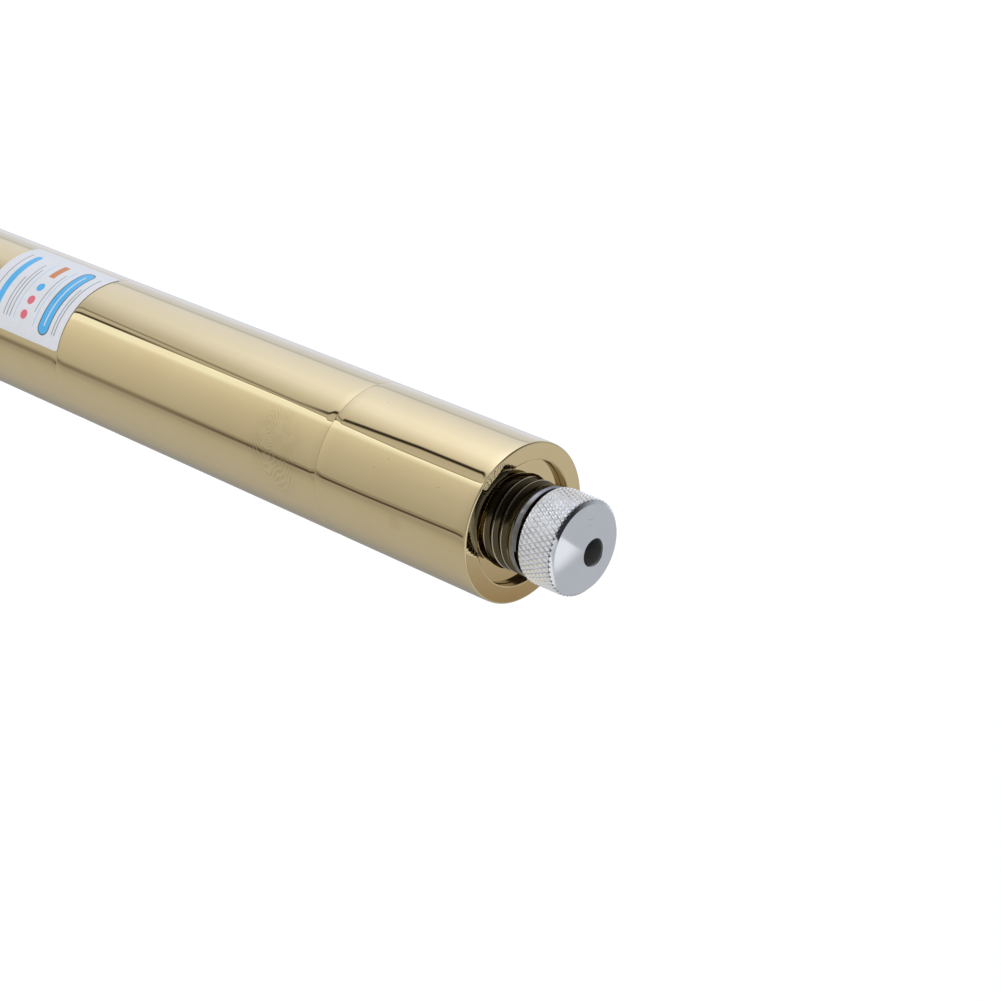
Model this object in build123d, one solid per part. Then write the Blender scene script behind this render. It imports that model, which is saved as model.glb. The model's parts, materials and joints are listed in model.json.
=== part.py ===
from build123d import *
from math import atan2, cos, degrees, pi, sin
import os

os.makedirs("parts", exist_ok=True)

# A pocket laser pointer that stands on its tail, in millimetres.
# Z runs along the body, from the tail face at 0 to the beam end.

# Outer body
tail_cap_length = 22.0
main_barrel_length = 60.5
head_tube_length = 30.0
rim_chamfer = 0.25
seam_chamfer = 0.08
edge_break = 0.1

# Screwed joints between the body sections
spigot_wall = 1.5
socket_wall = 1.95
joint_length = 8.0
joint_end_gap = 0.3
joint_clearance = 0.05
tail_joint_length = 7.0
tail_thread_pitch = 1.5
tail_thread_depth = 0.45
tail_thread_length = 4.2
o_ring_section = 0.76
o_ring_groove_width = 1.1
o_ring_groove_depth = 0.75
o_ring_from_seam = 0.5

# Cells
cell_diameter = 16.5
cell_length = 34.0
cell_count = 2
cell_nipple_diameter = 5.5
cell_nipple_height = 0.8
cell_edge_radius = 0.6
cell_vent_groove_width = 1.2
cell_vent_groove_depth = 0.3
cell_clearance = 0.25
battery_tube_extra_length = 6.5
contact_gap = 0.05

# Label film
label_length = 21.4
label_height = 17.5
label_thickness = 0.1
label_start_angle = -17.5
label_from_seam = 0.1

# Tail button and switch
tail_rim_width = 4.0
tail_recess_depth = 3.0
tail_wall = 1.5
button_clearance = 0.08
button_setback = 0.6
button_edge_radius = 0.8
button_flange_width = 1.5
button_flange_gap = 1.0
button_flange_thickness = 1.0
button_travel = 1.2
switch_free_gap = 0.25
switch_width = 9.0
switch_height = 4.0
switch_edge_radius = 0.5
plunger_diameter = 3.0
plunger_clearance = 0.1
plunger_reach = 2.0
switch_board_step = 1.0
switch_board_seat = 1.45
switch_board_thickness = 1.2
switch_pocket_clearance = 0.05
switch_ring_height = 1.8
switch_ring_wall = 2.95

# Springs
tail_spring_wire = 0.9
tail_spring_base_diameter = 9.4
tail_spring_tip_diameter = 6.0
tail_spring_turns = 5
front_spring_wire = 0.7
front_spring_length = 7.0
front_spring_base_diameter = 8.0
front_spring_tip_diameter = 3.6
front_spring_turns = 4
lens_spring_wire = 0.5
lens_spring_length = 7.0
lens_spring_diameter = 7.4
lens_spring_turns = 4
spring_wire_sides = 6

# Driver board and its holder
holder_ledge_in_barrel = 0.65
holder_clearance = 0.05
holder_length = 8.2
holder_in_barrel = 3.2
holder_wall = 0.8
holder_ledge = 0.8
driver_board_thickness = 1.2
driver_board_inset = 1.1
driver_board_clearance = 0.05
driver_chip_size = 4.0
driver_chip_height = 1.5
driver_coil_diameter = 3.2
driver_coil_height = 2.4
driver_part_offset = 3.4
solder_gap = 0.05

# Laser module
module_length = 36.0
module_clearance = 0.05
module_ring_height = 3.0
module_ring_bore = 12.0
press_ring_diameter = 10.0
press_ring_height = 1.5
press_ring_bore = 4.4
diode_flange_diameter = 5.6
diode_flange_thickness = 1.2
diode_can_diameter = 3.9
diode_can_height = 2.5
diode_window_diameter = 1.8
diode_window_depth = 0.25
diode_clearance = 0.03
diode_can_clearance = 0.25
diode_pin_diameter = 0.45
diode_pin_circle = 2.54
lens_barrel_diameter = 8.9
lens_barrel_length = 10.0
lens_barrel_clearance = 0.05
lens_barrel_bore = 4.8
lens_diameter = 6.0
lens_edge_thickness = 1.6
lens_centre_thickness = 2.6
lens_clearance = 0.05
lens_inset = 1.0
lens_slot_width = 1.0
lens_slot_depth = 0.8
spanner_slot_width = 1.4
spanner_slot_depth = 0.8

# Front recess and the insert that takes the cap
rim_width = 2.7
recess_depth = 1.2
insert_length = 6.0
insert_clearance = 0.03
insert_ledge = 0.7

# Pattern cap
cap_thread_diameter = 13.6
cap_thread_depth = 0.55
cap_thread_pitch = 1.6
cap_thread_clearance = 0.1
cap_thread_entry = 4.0
cap_shoulder_height = 5.36
cap_collar_width = 1.4
cap_collar_diameter = 13.5
cap_relief_width = 1.1
cap_relief_diameter = 12.4
knurl_diameter = 14.3
knurl_depth = 0.35
knurl_length = 5.7
knurl_teeth = 54
knurl_rows = 7
cap_bevel_width = 0.3
cap_bevel_height = 0.35
cap_face_rise = 1.55
aperture_diameter = 4.0
aperture_length = 3.4
aperture_chamfer = 0.15
cap_bore_diameter = 9.2
grating_diameter = 9.1
grating_thickness = 0.6
grating_ring_height = 1.5
grating_ring_bore = 6.0
grating_ring_clearance = 0.05

STANDING = (Align.CENTER, Align.CENTER, Align.MIN)
HANGING = (Align.CENTER, Align.CENTER, Align.MAX)

# Heights of the seams and of the front face
battery_tube_length = cell_count * cell_length + battery_tube_extra_length
tail_seam_z = tail_cap_length
label_seam_z = tail_seam_z + battery_tube_length
head_seam_z = label_seam_z + main_barrel_length
front_z = head_seam_z + head_tube_length

# Tail stack, from the tail face upwards
button_wall_z = tail_recess_depth + tail_wall
button_flange_z = button_wall_z + contact_gap
plunger_z = button_flange_z + button_flange_thickness
switch_z = plunger_z + button_travel + switch_free_gap
switch_board_z = switch_z + switch_height
switch_ring_z = switch_board_z + switch_board_thickness
tail_joint_z = tail_seam_z - tail_joint_length

# Driver and module stack, from the barrel's rear joint upwards
holder_bore_z = label_seam_z + joint_length + joint_end_gap
module_z = holder_bore_z + holder_in_barrel
holder_z = module_z - holder_length
driver_board_z = holder_z + driver_board_inset
driver_board_front_z = driver_board_z + driver_board_thickness
diode_z = module_z + press_ring_height
diode_can_z = diode_z + diode_flange_thickness
lens_bore_z = diode_can_z + diode_can_height + contact_gap
lens_barrel_z = lens_bore_z + lens_spring_length
module_front_z = module_z + module_length

# Cells, hung from the front contact; the tail spring takes up what is left
front_contact_z = driver_board_z - front_spring_length
rear_cell_z = front_contact_z - cell_count * (cell_length + contact_gap)
tail_spring_length = rear_cell_z - switch_ring_z

# Cap stack, from the gold front face upwards
recess_floor_z = front_z - recess_depth
insert_z = recess_floor_z - insert_length
cap_shoulder_z = front_z + cap_shoulder_height
cap_tail_z = recess_floor_z - cap_thread_entry
knurl_top_z = cap_shoulder_z + knurl_length
cap_cone_z = knurl_top_z + cap_bevel_height
cap_tip_z = cap_cone_z + cap_face_rise
grating_top_z = cap_tip_z - aperture_length
grating_z = grating_top_z - grating_thickness
grating_ring_z = grating_z - grating_ring_height

# Diameters, from the cells outwards
battery_bore = cell_diameter + 2 * cell_clearance
joint_diameter = battery_bore + 2 * spigot_wall
socket_diameter = joint_diameter + 2 * joint_clearance
body_diameter = socket_diameter + 2 * socket_wall
o_ring_groove_diameter = joint_diameter - 2 * o_ring_groove_depth

# Diameters of the front, from the body inwards
recess_diameter = body_diameter - 2 * rim_width
insert_diameter = recess_diameter - 2 * insert_clearance
head_bore_diameter = recess_diameter - 2 * insert_ledge
insert_bore = cap_thread_diameter + 2 * cap_thread_clearance

# Diameters of what the barrel holds
module_diameter = battery_bore - 2 * module_clearance
holder_bore = battery_bore - 2 * holder_ledge_in_barrel
holder_diameter = holder_bore - 2 * holder_clearance
driver_board_diameter = holder_diameter - 2 * holder_wall - 2 * driver_board_clearance
lens_bore = lens_barrel_diameter + 2 * lens_barrel_clearance

# Diameters of the tail, from the body inwards
tail_recess_diameter = body_diameter - 2 * tail_rim_width
switch_pocket_diameter = joint_diameter - 2 * switch_board_step
switch_board_diameter = switch_pocket_diameter - 2 * switch_pocket_clearance
switch_ring_bore = switch_board_diameter - 2 * switch_ring_wall
switch_cavity_diameter = switch_board_diameter - 2 * switch_board_seat
button_flange_diameter = switch_cavity_diameter - 2 * button_flange_gap
button_hole_diameter = button_flange_diameter - 2 * button_flange_width
button_diameter = button_hole_diameter - 2 * button_clearance


def bar(diameter, bottom, top):
    """A round bar on the Z axis between two heights."""
    return Pos(0, 0, bottom) * Cylinder(diameter / 2, top - bottom, align=STANDING)


def cone(bottom_diameter, top_diameter, bottom, top):
    """A round taper on the Z axis between two heights."""
    return Pos(0, 0, bottom) * Cone(bottom_diameter / 2, top_diameter / 2, top - bottom, align=STANDING)


def break_edges(solid, size, end):
    """Chamfers the outer edge at the top (-1) or bottom (0) of a round bar."""
    rims = solid.edges().filter_by(GeomType.CIRCLE).group_by(Axis.Z)[end]
    return chamfer(rims.sort_by(SortBy.RADIUS)[-1], size)


def body_section(bottom, top, bottom_chamfer, top_chamfer):
    """The outside of one body section, with its two edges chamfered."""
    section = break_edges(bar(body_diameter, bottom, top), bottom_chamfer, 0)
    return break_edges(section, top_chamfer, -1)


def spanner_slots(diameter, top):
    """Two slots across a ring's upper face, cut for a pin spanner."""
    return Pos(0, 0, top) * Box(diameter, spanner_slot_width, spanner_slot_depth, align=HANGING)


def helical_thread(crest_diameter, depth, pitch, bottom, length):
    """A trapezoid ridge wound right-handed, sunk a little into its core."""
    root_radius = crest_diameter / 2 - depth
    sink = depth / 2
    base_half = 0.36 * pitch
    crest_half = 0.14 * pitch
    helix = Helix(pitch=pitch, height=length, radius=root_radius)
    section_plane = Plane(origin=helix @ 0, x_dir=(1, 0, 0), z_dir=helix % 0)
    outline = Polyline(
        (-sink, -base_half), (depth, -crest_half), (depth, crest_half), (-sink, base_half), close=True
    )
    ridge = sweep(section_plane * make_face(outline), path=helix, is_frenet=True)
    return Pos(0, 0, bottom) * ridge


def coil_spring(base_diameter, tip_diameter, wire, bottom, length, turns):
    """A spring between two heights, straight or tapering to its tip, in wire with small flats."""
    base_radius = (base_diameter - wire) / 2
    tip_radius = (tip_diameter - wire) / 2
    wound_height = length - wire - 2 * contact_gap
    taper = degrees(atan2(tip_radius - base_radius, wound_height))
    helix = Helix(pitch=wound_height / turns, height=wound_height, radius=base_radius, cone_angle=taper)
    section_plane = Plane(origin=helix @ 0, z_dir=helix % 0)
    coil = sweep(section_plane * RegularPolygon(wire / 2, spring_wire_sides), path=helix, is_frenet=True)
    return Pos(0, 0, bottom + wire / 2 + contact_gap) * coil


def knurled_band(diameter, depth, length, teeth, rows, end_diameter):
    """A closed solid whose wall is a lattice of raised diamonds.

    Points of the lattice alternate between crests and groove crossings, and
    both end rows drop to end_diameter, so the two ends are flat.
    """
    crest = diameter / 2
    groove = diameter / 2 - depth

    def lattice_point(column, row):
        angle = pi * column / teeth
        is_crest = (column + row) % 2 == 0
        radius = crest if is_crest else groove
        if row in (0, rows):
            radius = end_diameter / 2
        return Vector(radius * cos(angle), radius * sin(angle), length * row / rows)

    facets = []
    for row in range(rows + 1):
        for column in range(row % 2, 2 * teeth, 2):
            tip = lattice_point(column, row)
            for side in (-1, 1):
                for step in (-1, 1):
                    if 0 <= row + step <= rows:
                        beside = lattice_point(column + side, row)
                        beyond = lattice_point(column, row + step)
                        facets.append(Face(Wire.make_polygon([tip, beside, beyond], close=True)))
    for row in (0, rows):
        ring = [lattice_point(column, row) for column in range(2 * teeth)]
        facets.append(Face(Wire.make_polygon(ring, close=True)))
    return Solid(Shell(facets))


def make_head_tube():
    tube = body_section(head_seam_z, front_z, seam_chamfer, rim_chamfer)
    tube -= bar(head_bore_diameter, head_seam_z, front_z)
    tube -= bar(socket_diameter, head_seam_z, head_seam_z + joint_length + joint_end_gap)
    tube -= bar(recess_diameter, insert_z, front_z)
    recess_lip = recess_diameter + 2 * edge_break
    return tube - cone(recess_diameter, recess_lip, front_z - edge_break, front_z)


def make_front_insert():
    insert = bar(insert_diameter, insert_z, recess_floor_z)
    insert -= bar(insert_bore, insert_z, recess_floor_z)
    mouth = insert_bore + 2 * edge_break
    return insert - cone(insert_bore, mouth, recess_floor_z - edge_break, recess_floor_z)


def make_main_barrel():
    barrel = body_section(label_seam_z, head_seam_z, seam_chamfer, seam_chamfer)
    barrel += bar(joint_diameter, head_seam_z - seam_chamfer, head_seam_z + joint_length)
    barrel -= bar(socket_diameter, label_seam_z, holder_bore_z)
    barrel -= bar(holder_bore, label_seam_z, module_z)
    return barrel - bar(battery_bore, module_z, head_seam_z + joint_length)


def o_ring_groove(bottom):
    """The ring of metal that an O-ring groove takes out of a joint."""
    groove = bar(joint_diameter, bottom, bottom + o_ring_groove_width)
    return groove - bar(o_ring_groove_diameter, bottom, bottom + o_ring_groove_width)


def make_o_ring(groove_bottom):
    middle_radius = o_ring_groove_diameter / 2 + o_ring_section / 2
    return Pos(0, 0, groove_bottom + o_ring_groove_width / 2) * Torus(middle_radius, o_ring_section / 2)


front_groove_z = label_seam_z + o_ring_from_seam
tail_groove_z = tail_seam_z - o_ring_from_seam - o_ring_groove_width


def make_battery_tube():
    tube = body_section(tail_seam_z, label_seam_z, seam_chamfer, seam_chamfer)
    tube += bar(joint_diameter, label_seam_z - seam_chamfer, label_seam_z + joint_length)
    tube += bar(joint_diameter, tail_groove_z - o_ring_from_seam, tail_seam_z + seam_chamfer)
    thread_root = joint_diameter - 2 * tail_thread_depth
    tube += bar(thread_root, tail_joint_z, tail_seam_z)
    half_pitch = tail_thread_pitch / 2
    thread_bottom = tail_joint_z + half_pitch / 2
    tube += helical_thread(
        joint_diameter, tail_thread_depth, tail_thread_pitch, thread_bottom, tail_thread_length - half_pitch
    )
    tube -= o_ring_groove(front_groove_z)
    tube -= o_ring_groove(tail_groove_z)
    return tube - bar(battery_bore, tail_joint_z, label_seam_z + joint_length)


def make_label():
    """A strip of film on the outside of the battery tube, turned towards -Y and -X."""
    inner = body_diameter / 2
    top = label_seam_z - label_from_seam
    span = degrees(label_height / inner)
    wall = Rectangle(label_thickness, label_length, align=(Align.MIN, Align.MAX))
    start = 270 - label_start_angle - span
    return Rot(0, 0, start) * revolve(Plane.XZ * Pos(inner, top) * wall, Axis.Z, revolution_arc=span)


def make_cell(bottom):
    """A round lithium cell in its shrink film, positive end up."""
    shoulder = bottom + cell_length - cell_nipple_height
    can = bar(cell_diameter, bottom, shoulder)
    can = fillet(can.edges().filter_by(GeomType.CIRCLE), cell_edge_radius)
    vent_ring = cell_nipple_diameter + 2 * cell_vent_groove_width
    groove = bar(vent_ring, shoulder - cell_vent_groove_depth, shoulder)
    groove -= bar(cell_nipple_diameter, shoulder - cell_vent_groove_depth, shoulder)
    return can - groove + bar(cell_nipple_diameter, shoulder - cell_vent_groove_depth, bottom + cell_length)


def make_tail_cap():
    cap = body_section(0, tail_seam_z, rim_chamfer, seam_chamfer)
    cap -= bar(tail_recess_diameter, 0, tail_recess_depth)
    cap -= cone(tail_recess_diameter + 2 * rim_chamfer, tail_recess_diameter, 0, rim_chamfer)
    cap -= bar(button_hole_diameter, 0, button_wall_z)
    cap -= bar(switch_cavity_diameter, button_wall_z, switch_board_z)
    cap -= bar(switch_pocket_diameter, switch_board_z, tail_joint_z)
    return cap - bar(socket_diameter, tail_joint_z - joint_end_gap, tail_seam_z)


def make_tail_button():
    stem = bar(button_diameter, button_setback, plunger_z)
    stem = fillet(stem.edges().filter_by(GeomType.CIRCLE).sort_by(Axis.Z)[0], button_edge_radius)
    return stem + bar(button_flange_diameter, button_flange_z, plunger_z)


def make_switch_plunger():
    return bar(plunger_diameter, plunger_z, switch_z + plunger_reach)


def make_switch_body():
    block = Box(switch_width, switch_width, switch_height, align=STANDING)
    block = fillet(block.edges().filter_by(Axis.Z), switch_edge_radius)
    hole_depth = plunger_reach + button_travel + switch_free_gap
    hole = Cylinder(plunger_diameter / 2 + plunger_clearance, hole_depth, align=STANDING)
    return Pos(0, 0, switch_z) * (block - hole)


def make_switch_board():
    return bar(switch_board_diameter, switch_board_z, switch_ring_z)


def slotted_ring(diameter, bore, bottom, height):
    """A threaded retaining ring with two spanner slots in its upper face."""
    ring = bar(diameter, bottom, bottom + height) - bar(bore, bottom, bottom + height)
    return ring - spanner_slots(diameter, bottom + height)


def make_driver_holder():
    holder = bar(holder_diameter, holder_z, module_z)
    pocket = holder_diameter - 2 * holder_wall
    holder -= bar(pocket, holder_z, driver_board_front_z)
    return holder - bar(pocket - 2 * holder_ledge, driver_board_front_z, module_z)


def make_driver_board():
    """A round board with a chip, a coil and two small parts soldered to its front."""
    board = bar(driver_board_diameter, driver_board_z, driver_board_front_z)
    on_top = Pos(0, 0, driver_board_front_z)
    chip = Box(driver_chip_size, driver_chip_size / 2, driver_chip_height, align=STANDING)
    coil = Cylinder(driver_coil_diameter / 2, driver_coil_height, align=STANDING)
    small_part = Box(driver_chip_size / 2, driver_chip_size / 4, driver_chip_height / 2, align=STANDING)
    board += on_top * Pos(0, driver_part_offset, 0) * chip
    board += on_top * Pos(0, -driver_part_offset, 0) * coil
    board += on_top * Pos(driver_part_offset, 0, 0) * small_part
    return board + on_top * Pos(-driver_part_offset, 0, 0) * small_part


def make_module_housing():
    block = bar(module_diameter, module_z, module_front_z)
    block -= bar(press_ring_diameter + 2 * diode_clearance, module_z, diode_z)
    block -= bar(diode_flange_diameter + 2 * diode_clearance, diode_z, diode_can_z)
    block -= bar(diode_can_diameter + 2 * diode_can_clearance, diode_can_z, lens_bore_z)
    block -= bar(lens_bore, lens_bore_z, module_front_z)
    return chamfer(block.edges().group_by(Axis.Z)[-1], edge_break)


def make_diode_press_ring():
    return bar(press_ring_diameter, module_z, diode_z) - bar(press_ring_bore, module_z, diode_z)


def make_laser_diode():
    """A metal can on a flange, with a sunk window in front and three pins behind."""
    can_top = diode_can_z + diode_can_height
    diode = bar(diode_flange_diameter, diode_z, diode_can_z) + bar(diode_can_diameter, diode_can_z, can_top)
    diode -= bar(diode_window_diameter, can_top - diode_window_depth, can_top)
    pin = bar(diode_pin_diameter, driver_board_front_z + solder_gap, diode_z)
    for place in PolarLocations(diode_pin_circle / 2, 3, start_angle=45):
        diode += place * pin
    return diode


def make_lens_barrel():
    top = lens_barrel_z + lens_barrel_length
    barrel = bar(lens_barrel_diameter, lens_barrel_z, top)
    barrel -= bar(lens_barrel_bore, lens_barrel_z, top)
    lens_seat = top - lens_inset - lens_centre_thickness
    barrel -= bar(lens_diameter + 2 * lens_clearance, lens_seat, top)
    slot = Box(lens_barrel_diameter, lens_slot_width, lens_slot_depth, align=HANGING)
    return barrel - Pos(0, 0, top) * slot


def make_collimating_lens():
    """A plano-convex lens, flat side on its seat."""
    seat = lens_barrel_z + lens_barrel_length - lens_inset - lens_centre_thickness
    radius = lens_diameter / 2
    edge_top = seat + lens_edge_thickness
    centre_top = seat + lens_centre_thickness
    bulge = lens_centre_thickness - lens_edge_thickness
    curve_radius = (radius**2 + bulge**2) / (2 * bulge)
    dome = Pos(0, 0, centre_top - curve_radius) * Sphere(curve_radius)
    return bar(lens_diameter, seat, edge_top + bulge) & dome


def make_pattern_cap_body():
    """The knurled knob with its coned face, plain collar, threaded shank and stepped bore."""
    bevel_base = knurl_diameter - knurl_depth
    bevel_top = bevel_base - 2 * cap_bevel_width
    knob = knurled_band(knurl_diameter, knurl_depth, knurl_length, knurl_teeth, knurl_rows, bevel_base)
    knob = Pos(0, 0, cap_shoulder_z) * knob
    knob += cone(bevel_base, bevel_top, knurl_top_z, cap_cone_z)
    knob += cone(bevel_top, aperture_diameter, cap_cone_z, cap_tip_z)
    collar_top = cap_shoulder_z - cap_relief_width
    thread_top = collar_top - cap_collar_width
    thread_length = thread_top - cap_tail_z - cap_thread_pitch
    shank = bar(cap_thread_diameter - 2 * cap_thread_depth, cap_tail_z, thread_top)
    shank += bar(cap_collar_diameter, thread_top, collar_top)
    shank += bar(cap_relief_diameter, collar_top, cap_shoulder_z)
    shank += helical_thread(
        cap_thread_diameter,
        cap_thread_depth,
        cap_thread_pitch,
        cap_tail_z + cap_thread_pitch / 2,
        thread_length,
    )
    cap = knob + shank
    cap -= bar(cap_bore_diameter, cap_tail_z, grating_top_z)
    cap -= bar(aperture_diameter, grating_top_z, cap_tip_z)
    mouth = aperture_diameter + 2 * aperture_chamfer
    return cap - cone(aperture_diameter, mouth, cap_tip_z - 2 * aperture_chamfer, cap_tip_z)


def make_grating_disc():
    return bar(grating_diameter, grating_z, grating_top_z)


def make_grating_ring():
    """The slotted ring that holds the disc; its slots face the tail."""
    outer = cap_bore_diameter - 2 * grating_ring_clearance
    ring = bar(outer, grating_ring_z, grating_z) - bar(grating_ring_bore, grating_ring_z, grating_z)
    return ring - spanner_slots(outer, grating_ring_z + spanner_slot_depth)


pieces = {
    "head_tube": make_head_tube(),
    "front_insert": make_front_insert(),
    "main_barrel": make_main_barrel(),
    "battery_tube": make_battery_tube(),
    "label": make_label(),
    "front_o_ring": make_o_ring(front_groove_z),
    "tail_o_ring": make_o_ring(tail_groove_z),
    "driver_holder": make_driver_holder(),
    "driver_board": make_driver_board(),
    "front_contact_spring": coil_spring(
        front_spring_tip_diameter,
        front_spring_base_diameter,
        front_spring_wire,
        front_contact_z,
        front_spring_length,
        front_spring_turns,
    ),
    "module_housing": make_module_housing(),
    "module_locking_ring": slotted_ring(
        module_diameter, module_ring_bore, module_front_z, module_ring_height
    ),
    "diode_press_ring": make_diode_press_ring(),
    "laser_diode": make_laser_diode(),
    "lens_spring": coil_spring(
        lens_spring_diameter,
        lens_spring_diameter,
        lens_spring_wire,
        lens_bore_z,
        lens_spring_length,
        lens_spring_turns,
    ),
    "lens_barrel": make_lens_barrel(),
    "collimating_lens": make_collimating_lens(),
    "rear_cell": make_cell(rear_cell_z),
    "front_cell": make_cell(rear_cell_z + cell_length + contact_gap),
    "tail_cap": make_tail_cap(),
    "tail_button": make_tail_button(),
    "switch_plunger": make_switch_plunger(),
    "switch_body": make_switch_body(),
    "switch_board": make_switch_board(),
    "switch_retaining_ring": slotted_ring(
        switch_board_diameter, switch_ring_bore, switch_ring_z, switch_ring_height
    ),
    "tail_contact_spring": coil_spring(
        tail_spring_base_diameter,
        tail_spring_tip_diameter,
        tail_spring_wire,
        switch_ring_z,
        tail_spring_length,
        tail_spring_turns,
    ),
    "pattern_cap_body": make_pattern_cap_body(),
    "grating_disc": make_grating_disc(),
    "grating_retaining_ring": make_grating_ring(),
}

for name, piece in pieces.items():
    export_step(piece, f"parts/{name}.step")
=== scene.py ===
import json
import math
from types import SimpleNamespace

import bmesh
import bpy
from mathutils import Matrix, Vector


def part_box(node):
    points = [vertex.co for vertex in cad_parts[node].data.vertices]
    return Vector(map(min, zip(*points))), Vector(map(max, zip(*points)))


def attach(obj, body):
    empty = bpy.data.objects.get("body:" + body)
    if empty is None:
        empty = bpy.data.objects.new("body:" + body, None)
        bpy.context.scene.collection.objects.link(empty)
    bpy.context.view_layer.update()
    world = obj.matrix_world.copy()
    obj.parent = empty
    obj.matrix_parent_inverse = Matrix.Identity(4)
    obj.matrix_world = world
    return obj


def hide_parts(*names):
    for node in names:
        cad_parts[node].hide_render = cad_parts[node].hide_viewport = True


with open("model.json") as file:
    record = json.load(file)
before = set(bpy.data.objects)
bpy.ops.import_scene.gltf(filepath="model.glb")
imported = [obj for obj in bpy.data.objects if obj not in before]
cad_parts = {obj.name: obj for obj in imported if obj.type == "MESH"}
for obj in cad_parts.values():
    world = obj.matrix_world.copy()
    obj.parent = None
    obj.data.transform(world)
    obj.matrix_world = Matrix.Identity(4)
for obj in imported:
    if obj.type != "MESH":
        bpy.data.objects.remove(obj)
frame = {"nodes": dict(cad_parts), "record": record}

bl_info = {
    "name": "Laser pointer dresser",
    "version": (1, 0, 0),
    "blender": (4, 5, 0),
    "location": "View3D > Sidebar > Pointer",
    "description": "Polished gold sections, knurled pattern cap, label film and studio for the laser pointer",
    "category": "Object",
}

MM = 0.001
WHITE = (1.0, 1.0, 1.0, 1.0)

# Heights of the seams and the body's radius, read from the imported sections
label_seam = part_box("main_barrel")[0].z
head_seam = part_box("head_tube")[0].z
front_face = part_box("head_tube")[1].z
body_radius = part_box("head_tube")[1].x
tail_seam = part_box("tail_cap")[1].z


class PointerShape(bpy.types.PropertyGroup):
    """Sizes of the turned pieces that a user may change."""

    columns: bpy.props.IntProperty(
        name="Columns", description="Facets round each turned gold piece", default=256, min=48, max=512
    )
    rolloff_width: bpy.props.FloatProperty(
        name="Roll-off width",
        description="How far from an edge the polishing wheel has rounded the wall",
        default=1.6 * MM,
        unit="LENGTH",
    )
    rolloff_drop: bpy.props.FloatProperty(
        name="Roll-off drop",
        description="How much lower the wall is at a polished edge",
        default=0.035 * MM,
        unit="LENGTH",
    )
    rim_round: bpy.props.FloatProperty(
        name="Rim rounding",
        description="Radius of the corner at the two end rims",
        default=0.27 * MM,
        unit="LENGTH",
    )
    seam_round: bpy.props.FloatProperty(
        name="Seam rounding",
        description="Radius of the corner at each joint line",
        default=0.045 * MM,
        unit="LENGTH",
    )
    rim_wear: bpy.props.FloatProperty(
        name="Rim wear",
        description="Slope of the worn place on the front rim, as rise over run",
        default=0.14,
        min=0,
        max=0.5,
    )
    joint_radius: bpy.props.FloatProperty(
        name="Joint radius", description="Radius of the sections' spigots", default=10 * MM, unit="LENGTH"
    )
    joint_clearance: bpy.props.FloatProperty(
        name="Joint clearance", description="Play round each spigot", default=0.05 * MM, unit="LENGTH"
    )
    cell_bore: bpy.props.FloatProperty(
        name="Cell bore", description="Radius of the bore for the cells", default=8.5 * MM, unit="LENGTH"
    )
    tail_pitch: bpy.props.FloatProperty(
        name="Tail pitch", description="Rise per turn of the tail joint", default=1.5 * MM, unit="LENGTH"
    )
    tail_thread_depth: bpy.props.FloatProperty(
        name="Tail thread depth", description="Depth of the tail thread", default=0.45 * MM, unit="LENGTH"
    )
    recess_radius: bpy.props.FloatProperty(
        name="Recess radius", description="Radius of the front recess", default=9.3 * MM, unit="LENGTH"
    )
    insert_bore: bpy.props.FloatProperty(
        name="Insert bore", description="Radius of the hole for the cap", default=6.9 * MM, unit="LENGTH"
    )
    cap_pitch: bpy.props.FloatProperty(
        name="Cap pitch", description="Rise per turn of the cap", default=1.6 * MM, unit="LENGTH"
    )
    cap_thread_radius: bpy.props.FloatProperty(
        name="Cap thread radius", description="Radius over its crests", default=6.8 * MM, unit="LENGTH"
    )
    cap_thread_depth: bpy.props.FloatProperty(
        name="Cap thread depth", description="Depth of its grooves", default=0.55 * MM, unit="LENGTH"
    )
    knurl_radius: bpy.props.FloatProperty(
        name="Knurl radius", description="Radius over its crests", default=7.15 * MM, unit="LENGTH"
    )
    knurl_depth: bpy.props.FloatProperty(
        name="Knurl depth", description="Depth of its grooves", default=0.35 * MM, unit="LENGTH"
    )
    knurl_teeth: bpy.props.IntProperty(
        name="Knurl teeth", description="Diamonds round the knob", default=54, min=12, max=120
    )
    knurl_rows: bpy.props.IntProperty(
        name="Knurl rows", description="Half diamonds along the knob", default=7, min=2, max=20
    )


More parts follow.
